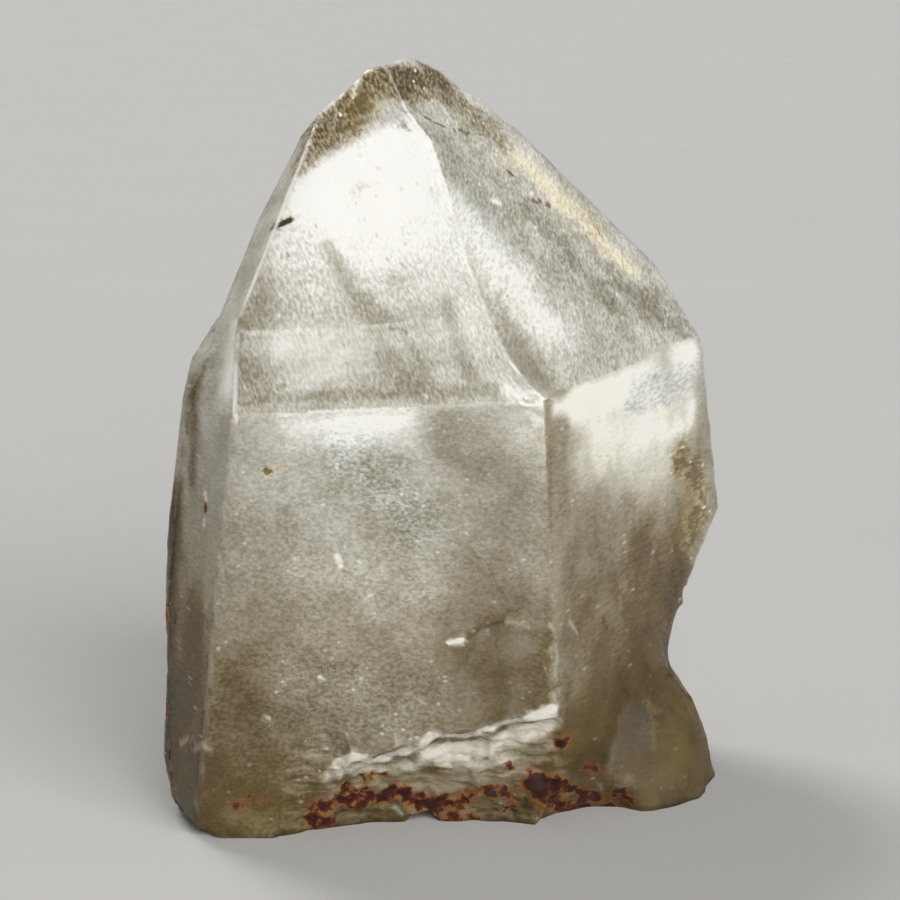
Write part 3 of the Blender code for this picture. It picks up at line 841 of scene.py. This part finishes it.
def near_marks(places, lines, most):
    """The places that a small mark covers."""
    chosen = np.zeros(len(places), bool)
    for mark, line in zip(MARKS, lines):
        if mark.reach <= most and mark.rim is None:
            chosen |= away_from(places, line) < mm(mark.reach * MARK_MARGIN + MARK_BORDER)
    return chosen


def paint(places, faces, wander, lines):
    """Lays every mark over the crystal: its colour layers, and how deep each place is sunk."""
    height = places[:, 2]
    behind = past(places[:, 1], BEHIND)
    layers = {
        # The tone rises from foot to point as painted light, the foot darker as painted shade
        "tone": FOOT_TONE + POINT_PAINTED_LIGHT * past(height, PAINTED_LIGHT_SPAN) + BACK_TONE * behind + WANDER_TONE * wander,
        "warm": FOOT_STAIN * (1.0 - past(height, CLEANER)),
        "dirt": np.zeros(len(places)),
        "rust": np.zeros(len(places)),
        "grain": np.full(len(places), ETCHED),
        "rim": FRONT_RIM + BACK_RIM * behind,
    }
    sunk = np.zeros(len(places))
    for mark, line in zip(MARKS, lines):
        reach = mm(mark.reach)
        low = line.min(axis=0) - MARK_LIMIT * reach
        high = line.max(axis=0) + MARK_LIMIT * reach
        near = np.all((places > low) & (places < high), axis=1)
        if mark.face:
            near &= faces == FACE_NAMES.index(mark.face)
        away = away_from(places[near], line) / reach + mark.ragged * wander[near]
        cover = (1.0 - smooth_step(away, 1.0 - mark.soft, 1.0)) * mark.strength
        for name, layer in layers.items():
            wanted = getattr(mark, name)
            if wanted is not None:
                layer[near] += (wanted - layer[near]) * cover
        sunk[near] += mm(mark.depth) * cover
    return layers, sunk


# Materials


def fill(tree, made, inputs):
    """Puts values or links on a node's inputs."""
    for name, value in inputs.items():
        if isinstance(value, bpy.types.NodeSocket):
            tree.links.new(value, made.inputs[name])
        else:
            made.inputs[name].default_value = value


def add(tree, kind, settings=None, inputs=None):
    """A new shader node, with its settings and its inputs."""
    made = tree.nodes.new(kind)
    for name, value in (settings or {}).items():
        setattr(made, name, value)
    fill(tree, made, inputs or {})
    return made


def math_node(tree, operation, first, second=0.0, third=0.0, clamp=False):
    """One step of arithmetic on numbers or sockets."""
    settings = {"operation": operation, "use_clamp": clamp}
    return add(tree, "ShaderNodeMath", settings, {0: first, 1: second, 2: third}).outputs[0]


def times(tree, first, second, clamp=False):
    """The product of two numbers or sockets."""
    return math_node(tree, "MULTIPLY", first, second, clamp=clamp)


def minus(tree, first, second):
    """The difference of two numbers or sockets."""
    return math_node(tree, "SUBTRACT", first, second)


def times_plus(tree, value, factor, more, clamp=False):
    """A number or socket times a factor, and more added."""
    return math_node(tree, "MULTIPLY_ADD", value, factor, more, clamp)


def blend(tree, factor, below, above, mode="MIX"):
    """Lays one colour over another through a mask."""
    settings = {"data_type": "RGBA", "blend_type": mode, "clamp_factor": True}
    return add(tree, "ShaderNodeMix", settings, {0: factor, 6: below, 7: above}).outputs[2]


def ramp(tree, value, low, high, start=0.0, end=1.0):
    """Maps a number from one span onto another, with soft ends."""
    settings = {"interpolation_type": "SMOOTHSTEP"}
    inputs = {"Value": value, "From Min": low, "From Max": high, "To Min": start, "To Max": end}
    return add(tree, "ShaderNodeMapRange", settings, inputs).outputs["Result"]


def new_group(name, inputs, outputs):
    """An empty node group with its named sockets, and its two end nodes."""
    group = bpy.data.node_groups.new(name, "ShaderNodeTree")
    for label, kind, value in inputs:
        socket = group.interface.new_socket(label, in_out="INPUT", socket_type=kind)
        socket.default_value = value
    for label, kind in outputs:
        group.interface.new_socket(label, in_out="OUTPUT", socket_type=kind)
    return group, group.nodes.new("NodeGroupInput"), group.nodes.new("NodeGroupOutput")


def use(tree, group, inputs):
    """Places a group in a material."""
    return add(tree, "ShaderNodeGroup", {"node_tree": group}, inputs)


NUMBER, VECTOR = "NodeSocketFloat", "NodeSocketVector"


def cloud_group():
    """Soft clouds of a size, squeezed along any axis, as a mask."""
    group, given, result = new_group(
        "Clouds",
        (
            ("Place", VECTOR, (0.0, 0.0, 0.0)),
            ("Squeeze", VECTOR, (1.0, 1.0, 1.0)),
            ("Size", NUMBER, 0.01),
            ("Detail", NUMBER, 3.0),
            ("Low", NUMBER, 0.4),
            ("High", NUMBER, 0.6),
        ),
        (("Mask", NUMBER),),
    )
    place, squeeze, size, detail, low, high = given.outputs[:6]
    squeezed = add(group, "ShaderNodeVectorMath", {"operation": "MULTIPLY"}, {0: place, 1: squeeze})
    inputs = {
        "Vector": squeezed.outputs[0],
        "Scale": math_node(group, "DIVIDE", 1.0, size),
        "Detail": detail,
        "Roughness": 0.55,
    }
    texture = add(group, "ShaderNodeTexNoise", None, inputs)
    fill(group, result, {"Mask": ramp(group, texture.outputs["Fac"], low, high)})
    return group


def speck_group():
    """Scattered specks, pale ones in a share of the cells and dark ones in half as many."""
    group, given, result = new_group(
        "Specks",
        (
            ("Place", VECTOR, (0.0, 0.0, 0.0)),
            ("Spacing", NUMBER, 0.001),
            ("Share", NUMBER, 0.3),
            ("Radius", NUMBER, 0.3),
        ),
        (("Pale", NUMBER), ("Dark", NUMBER)),
    )
    place, spacing, share, radius = given.outputs[:4]
    scale = math_node(group, "DIVIDE", 1.0, spacing)
    cells = add(group, "ShaderNodeTexVoronoi", None, {"Vector": place, "Scale": scale})
    speck = ramp(group, cells.outputs["Distance"], times(group, radius, 0.4), radius, 1.0, 0.0)
    chance = add(group, "ShaderNodeSeparateColor", None, {"Color": cells.outputs["Color"]}).outputs["Red"]
    pale = math_node(group, "LESS_THAN", chance, share)
    dark = math_node(group, "GREATER_THAN", chance, times_plus(group, share, -0.5, 1.0))
    fill(group, result, {"Pale": times(group, speck, pale), "Dark": times(group, speck, dark)})
    return group


def shared_groups():
    """The effects that the materials are mixed from, each built once."""
    makers = {"Clouds": cloud_group, "Specks": speck_group}
    return {name: bpy.data.node_groups.get(name) or make() for name, make in makers.items()}


# What the marks and the shape leave on the mesh for the material
KEPT = ("tone", "warm", "dirt", "rust", "grain", "rim", "broken", "ridge")


def attribute(tree, name, output="Fac"):
    """Something kept on the mesh."""
    settings = {"attribute_type": "GEOMETRY", "attribute_name": name}
    return add(tree, "ShaderNodeAttribute", settings).outputs[output]


def rgb(colour):
    """A colour property as a shader's four numbers."""
    return (*colour, 1.0)


def body_colour(tree, look, kept, milky, etched, sheets):
    """How milky the quartz is at each place, with glow, light and shade painted into its tone, tinted where
    it is warm or cool.
    """
    lit = times_plus(tree, sheets, SHEETS, kept["tone"])
    lit = times_plus(tree, minus(tree, milky, 0.5), VEILS, lit)
    lit = times_plus(tree, etched, ETCHING, lit, clamp=True)
    tones = add(tree, "ShaderNodeValToRGB", None, {"Fac": lit})
    stops = tones.color_ramp.elements
    stops[0].position = 0.2
    stops[0].color = rgb(look.deep)
    stops[1].color = rgb(look.glow)
    for position, colour in ((0.4, look.dusk), (0.6, look.grey), (0.8, look.milk)):
        stops.new(position).color = rgb(colour)
    warm = math_node(tree, "MAXIMUM", kept["warm"], 0.0)
    cool = times(tree, kept["warm"], -1.0, clamp=True)
    colour = blend(tree, warm, tones.outputs["Color"], rgb(look.warmth), "MULTIPLY")
    return blend(tree, cool, colour, rgb(look.coolness), "MULTIPLY")


def highlight_and_wear_colour(tree, look, kept, colour, milky, specks):
    """Sparkles, which are painted glints, and pits in the etched grain, and the pale edges, partly wear and
    partly painted highlight.
    """
    # Sparkles: pale specks painted as glints of light
    sparkle = times(tree, specks.outputs["Pale"], kept["grain"])
    sparkle = times(tree, sparkle, ramp(tree, milky, 0.35, 0.7))
    colour = blend(tree, times(tree, sparkle, SPARKLES), colour, rgb(look.wear_and_highlight))
    pit = times(tree, specks.outputs["Dark"], kept["grain"])
    colour = blend(tree, times(tree, pit, PITS), colour, rgb(look.dusk))
    # Pale edges: partly wear, partly painted highlight
    edge = ramp(tree, kept["ridge"], mm(EDGE_WEAR_AND_HIGHLIGHT[0]), mm(EDGE_WEAR_AND_HIGHLIGHT[1]), 1.0, 0.0)
    edge = times(tree, edge, times(tree, kept["rim"], ramp(tree, milky, 0.0, 0.5)))
    return blend(tree, edge, colour, rgb(look.wear_and_highlight))


def stained_colour(tree, look, kept, colour, lodged, crust, rusty):
    """Olive dirt lodged in the grain, and rust that is orange where it is thin."""
    colour = blend(tree, ramp(tree, lodged, 0.45, 0.75, 0.0, 0.85), colour, rgb(look.dirt))
    colour = blend(tree, ramp(tree, kept["rust"], 0.2, 0.7, 0.0, 0.35), colour, rgb(look.dirt))
    for name, low, high, most in RUST_COATS:
        cover = times(tree, rusty, ramp(tree, crust, low, high, 0.0, most))
        colour = blend(tree, cover, colour, rgb(getattr(look, name)))
    return colour


def quartz_material(look, groups):
    """Milky quartz: etched faces, veils, painted glow and shade, painted glints, pale edges that are partly
    wear and partly painted highlight, and rust on the broken base.
    """
    material = bpy.data.materials.new("milky_quartz")
    material.use_nodes = True
    tree = material.node_tree
    shader = tree.nodes["Principled BSDF"]
    place = add(tree, "ShaderNodeTexCoord").outputs["Object"]
    along_grain = attribute(tree, "grain_place", "Vector")
    kept = {name: attribute(tree, name) for name in KEPT}

    def clouds(size, low, high, detail, where=place, squeeze=(1.0, 1.0, 1.0)):
        inputs = {"Place": where, "Squeeze": squeeze, "Size": mm(size), "Detail": detail}
        return use(tree, groups["Clouds"], inputs | {"Low": low, "High": high}).outputs["Mask"]

    # The patterns that colour, roughness and bump share
    milky = clouds(VEIL_SIZE, 0.25, 0.75, 6.0)
    etched = minus(tree, clouds(ETCH_SIZE, 0.28, 0.72, 3.0, along_grain), 0.5)
    etched = times(tree, etched, kept["grain"])
    split = times(tree, kept["broken"], ramp(tree, kept["grain"], 0.1, 0.35))
    sheets = minus(tree, clouds(SHEET_SIZE, 0.3, 0.7, 3.0, squeeze=SHEET_SQUEEZE), 0.5)
    sheets = times(tree, sheets, split)
    spots = {"Spacing": mm(SPECK_SPACING), "Share": SPECK_SHARE, "Radius": SPECK_RADIUS}
    specks = use(tree, groups["Specks"], {"Place": along_grain} | spots)
    lodged = clouds(LODGED_SIZE, 0.3, 0.7, 3.0, along_grain)
    lodged = times_plus(tree, lodged, 0.5, minus(tree, kept["dirt"], 0.25))
    crust = clouds(CRUST_SIZE, 0.28, 0.72, 4.0)
    crust = times_plus(tree, crust, 0.9, minus(tree, kept["rust"], 0.45))
    rusty = ramp(tree, kept["rust"], 0.05, 0.25)

    colour = body_colour(tree, look, kept, milky, etched, sheets)
    colour = highlight_and_wear_colour(tree, look, kept, colour, milky, specks)
    colour = stained_colour(tree, look, kept, colour, lodged, crust, rusty)

    rough = times_plus(tree, milky, FROST_ROUGH, CLEAR_ROUGH)
    rough = times_plus(tree, kept["broken"], BROKEN_ROUGH, rough)
    scaly = times(tree, rusty, ramp(tree, crust, 0.47, 0.58))
    rough = times_plus(tree, scaly, RUST_ROUGH, rough, clamp=True)

    bump = add(tree, "ShaderNodeBump", None, {"Height": etched, "Strength": 0.8, "Distance": mm(ETCH_DEPTH)})
    fill(tree, shader, {
        "Base Color": colour,
        "Roughness": rough,
        "Normal": bump.outputs["Normal"],
        "Metallic": 0.0,
        "IOR": QUARTZ_IOR,
        "Specular IOR Level": GLOSS,
        "Specular Tint": rgb(GLOSS_TINT),
        "Transmission Weight": look.clearness,
        "Subsurface Weight": look.scatter,
        "Subsurface Radius": SCATTER_SPREAD,
        "Subsurface Scale": mm(SCATTER_REACH),
    })
    body = {"Color": rgb(look.tint), "Density": look.density}
    absorb = add(tree, "ShaderNodeVolumeAbsorption", None, body)
    fill(tree, tree.nodes["Material Output"], {"Volume": absorb.outputs["Volume"]})
    return material


def floor_material(stage, groups):
    """Plain pale board."""
    material = bpy.data.materials.new("pale_floor")
    material.use_nodes = True
    tree = material.node_tree
    place = add(tree, "ShaderNodeTexCoord").outputs["Object"]
    inputs = {"Place": place, "Size": mm(FLOOR_MOTTLE), "Low": 0.2, "High": 0.8}
    mottle = use(tree, groups["Clouds"], inputs).outputs["Mask"]
    darker = tuple(0.97 * part for part in stage.floor_colour)
    board = blend(tree, mottle, rgb(darker), rgb(stage.floor_colour))
    shader = tree.nodes["Principled BSDF"]
    fill(tree, shader, {"Base Color": board, "Roughness": 0.9, "Specular IOR Level": 0.1})
    return material


# Properties


def colour_property(name, description, default):
    """A colour that a user may change."""
    return FloatVectorProperty(
        name=name, description=description, subtype="COLOR", default=default, min=0.0, max=1.0
    )


def length_property(name, description, default):
    """A length in metres that a user may change."""
    return FloatProperty(name=name, description=description, default=default, unit="LENGTH")


def share_property(name, description, default):
    """A share from 0 to 1 that a user may change."""
    return FloatProperty(name=name, description=description, default=default, subtype="FACTOR")


class QuartzShape(bpy.types.PropertyGroup):
    """Sizes of the crystal's fine relief."""

    mesh_depth: IntProperty(
        name="Mesh depth", description="How finely the solid is remeshed", default=8, min=5, max=9
    )
    mesh_scale: share_property("Mesh scale", "Share of the mesh grid that the crystal fills", 0.52)
    unevenness: length_property("Unevenness", "Height of the swells on the crystal faces", 0.00005)
    hackle: length_property("Hackle", "Height of the roughness on broken quartz", 0.00020)
    ripple: length_property("Ripple", "Height of the ripples in the scar", 0.00008)
    layers: length_property("Layers", "Depth of the steps in the broken base", 0.00030)


class QuartzLook(bpy.types.PropertyGroup):
    """Colours and clearness of the crystal."""

    deep: colour_property("Deep", "The darkest quartz", (0.022, 0.015, 0.005))
    dusk: colour_property("Dusk", "Smoky quartz near the base", (0.135, 0.106, 0.052))
    grey: colour_property("Grey", "Frosted quartz", (0.34, 0.318, 0.255))
    milk: colour_property("Milk", "Milky quartz", (0.60, 0.60, 0.55))
    # Glow is the top of the tone ramp: the whitest veils, and the painted glow of light shining through the
    # crystal
    glow: colour_property("Glow", "The whitest veils", (0.96, 0.96, 0.93))
    # The colour of the pale edges, partly wear and partly painted highlight, and of the sparkles, which are
    # painted glints
    wear_and_highlight: colour_property("Worn", "Rubbed edges and sparkles", (0.92, 0.92, 0.89))
    dirt: colour_property("Dirt", "Olive dirt in pits and grain", (0.13, 0.095, 0.035))
    rust: colour_property("Rust", "Thin rust", (0.27, 0.095, 0.014))
    ore: colour_property("Ore", "Thick rust", (0.085, 0.011, 0.003))
    pitch: colour_property("Pitch", "The blackest rust", (0.016, 0.003, 0.002))
    warmth: colour_property("Warmth", "Stain in warm patches", (1.0, 0.84, 0.50))
    coolness: colour_property("Coolness", "Tint in cool patches", (0.86, 0.94, 1.0))
    clearness: share_property("Clearness", "Share of light let in", 0.5)
    scatter: share_property("Scatter", "Share of the rest that scatters inside", 0.4)
    tint: colour_property("Tint", "Colour that the body lets through", (0.80, 0.71, 0.50))
    density: FloatProperty(
        name="Density", description="How strongly the body takes light, a metre", default=28.0
    )


class QuartzStage(bpy.types.PropertyGroup):
    """Floor and lights."""

    floor_colour: colour_property("Floor", "Colour of the floor", (0.35, 0.346, 0.337))
    key_power: FloatProperty(
        name="Back light", description="Strength of the light behind, left", default=2.3
    )
    fill_power: FloatProperty(name="Front light", description="Strength of the light in front", default=4.8)
    sky: FloatProperty(name="Sky", description="Brightness of the surroundings", default=0.33)


class OBJECT_OT_quartz_crystal(bpy.types.Operator):
    """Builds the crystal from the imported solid"""

    bl_idname = "object.quartz_crystal"
    bl_label = "Quartz Crystal"

    def execute(self, context):
        """Refines the solid, shapes its surface, paints it and gives it its material."""
        shape = context.scene.quartz_shape
        piece = merged_copy("crystal")
        ridges = edge_points(piece.data, False)
        creases = edge_points(piece.data, True)
        lines = [line_on_solid(mark.path) for mark in MARKS]
        refine(piece, shape.mesh_depth, shape.mesh_scale)
        cut_detail(piece, lines)
        wear_hollows(piece, creases)
        mesh = piece.data
        places = places_of(mesh)
        faces, planar = faces_at(places)
        broken = broken_share(places, planar)
        layers, sunk = paint(places, faces, field(places, *WANDER), lines)
        layers["broken"] = broken
        layers["ridge"] = distances(places, ridges, mm(RIDGE_FAR))
        for name, values in layers.items():
            store(mesh, name, values)
        store_grain(mesh)
        shape_surface(mesh, places, relief(places, faces, broken, sunk, shape))
        mesh.materials.append(quartz_material(context.scene.quartz_look, shared_groups()))
        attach(piece, "root")
        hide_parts(NODE)
        return {"FINISHED"}


class SCENE_OT_quartz_stage(bpy.types.Operator):
    """Builds the floor, the lights and the camera"""

    bl_idname = "scene.quartz_stage"
    bl_label = "Quartz Stage"

    def execute(self, context):
        """Sets the stage up."""
        stage = context.scene.quartz_stage
        deselect()
        bpy.ops.mesh.primitive_plane_add(size=FLOOR_SIDE, location=(0.0, 0.0, 0.0))
        floor = context.active_object
        floor.name = "floor"
        floor.data.materials.append(floor_material(stage, shared_groups()))
        lights = (
            ("back light", (-0.9, 1.3, 1.6), 24.0, stage.key_power),
            ("front light", (0.9, -1.6, 1.0), 60.0, stage.fill_power),
        )
        for name, spot, spread, power in lights:
            bpy.ops.object.light_add(type="SUN", location=spot)
            light = context.active_object
            light.name = name
            light.rotation_euler = (CAMERA_TARGET - Vector(spot)).to_track_quat("-Z", "Y").to_euler()
            light.data.angle = math.radians(spread)
            light.data.energy = power
        world = bpy.data.worlds.new("studio")
        context.scene.world = world
        world.use_nodes = True
        backdrop = world.node_tree.nodes["Background"]
        fill(world.node_tree, backdrop, {"Color": rgb(SKY_COLOUR), "Strength": stage.sky})
        eye, turn = camera_pose()
        bpy.ops.object.camera_add(location=eye)
        camera = context.active_object
        camera.rotation_euler = turn.to_euler()
        camera.data.lens = LENS
        camera.data.sensor_width = SENSOR
        camera.data.clip_start = 0.01
        context.scene.camera = camera
        context.scene.view_settings.view_transform = "Standard"
        return {"FINISHED"}


class VIEW3D_PT_quartz_point(bpy.types.Panel):
    """Lists the steps that build the crystal and its studio"""

    bl_idname = "VIEW3D_PT_quartz_point"
    bl_label = "Quartz Point"
    bl_space_type = "VIEW_3D"
    bl_region_type = "UI"
    bl_category = "Quartz"

    def draw(self, context):
        """Shows the settings and the two steps."""
        for group in SETTINGS:
            settings = getattr(context.scene, group)
            for name in settings.bl_rna.properties.keys():
                if name not in ("rna_type", "name"):
                    self.layout.prop(settings, name)
        self.layout.operator(OBJECT_OT_quartz_crystal.bl_idname)
        self.layout.operator(SCENE_OT_quartz_stage.bl_idname)


SETTINGS = {"quartz_shape": QuartzShape, "quartz_look": QuartzLook, "quartz_stage": QuartzStage}
CLASSES = (*SETTINGS.values(), OBJECT_OT_quartz_crystal, SCENE_OT_quartz_stage, VIEW3D_PT_quartz_point)


def register():
    """Makes the classes and their settings known."""
    for cls in CLASSES:
        bpy.utils.register_class(cls)
    for name, settings in SETTINGS.items():
        setattr(bpy.types.Scene, name, PointerProperty(type=settings))


def unregister():
    """Takes the classes and their settings away."""
    for name in reversed(SETTINGS):
        delattr(bpy.types.Scene, name)
    for cls in reversed(CLASSES):
        bpy.utils.unregister_class(cls)


def main():
    """Builds everything."""
    register()
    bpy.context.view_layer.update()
    bpy.ops.scene.quartz_stage()
    bpy.ops.object.quartz_crystal()


if __name__ == "__main__":
    main()
